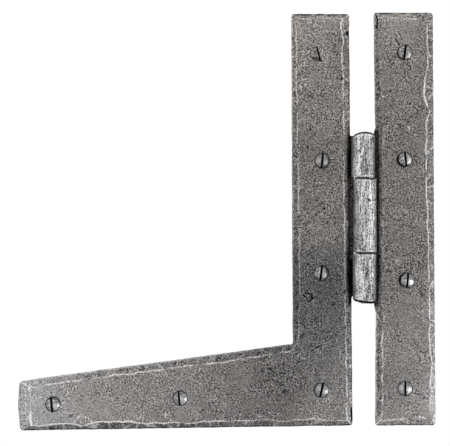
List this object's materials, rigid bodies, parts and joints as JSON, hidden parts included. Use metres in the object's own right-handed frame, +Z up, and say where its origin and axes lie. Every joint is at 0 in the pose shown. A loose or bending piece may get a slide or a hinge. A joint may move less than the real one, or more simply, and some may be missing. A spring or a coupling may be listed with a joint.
{
  "type": "h-l hinge",
  "caption": "Hand-forged H-L hinge: an L-shaped door leaf and a straight frame leaf joined by a rolled knuckle barrel and pin, with slotted wood screws.",
  "frame": {"origin": "on the leaves' back plane, directly behind the pin and level with the middle of the barrel", "axes": "+Z up along the pin, +X towards the straight frame leaf, +Y backwards into the timber (leaf fronts face -Y)"},
  "size_m": [0.2574, 0.037, 0.2577],
  "materials": {
    "forged_steel": "hammered, pewter patina",
    "pin_steel": "peened ends, pewter patina",
    "screw_steel": "pewter patina, worn bright on the crown"
  },
  "bodies": {
    "frame_leaf": {"frame_leaf": "forged_steel", "frame_screw_top": "screw_steel", "frame_screw_upper": "screw_steel", "frame_screw_lower": "screw_steel", "frame_screw_bottom": "screw_steel"},
    "door_leaf": {"door_leaf": "forged_steel", "hinge_pin": "pin_steel", "door_screw_top": "screw_steel", "door_screw_upper": "screw_steel", "door_screw_lower": "screw_steel", "door_screw_corner": "screw_steel", "arm_screw_middle": "screw_steel", "arm_screw_tip": "screw_steel"}
  },
  "joints": [
    {"name": "leaf_hinge", "type": "hinge", "parent": "frame_leaf", "child": "door_leaf", "pos_m": [0, -0.0072, 0], "axis": [0, 0, 1], "range_deg": [0, 180]}
  ]
}
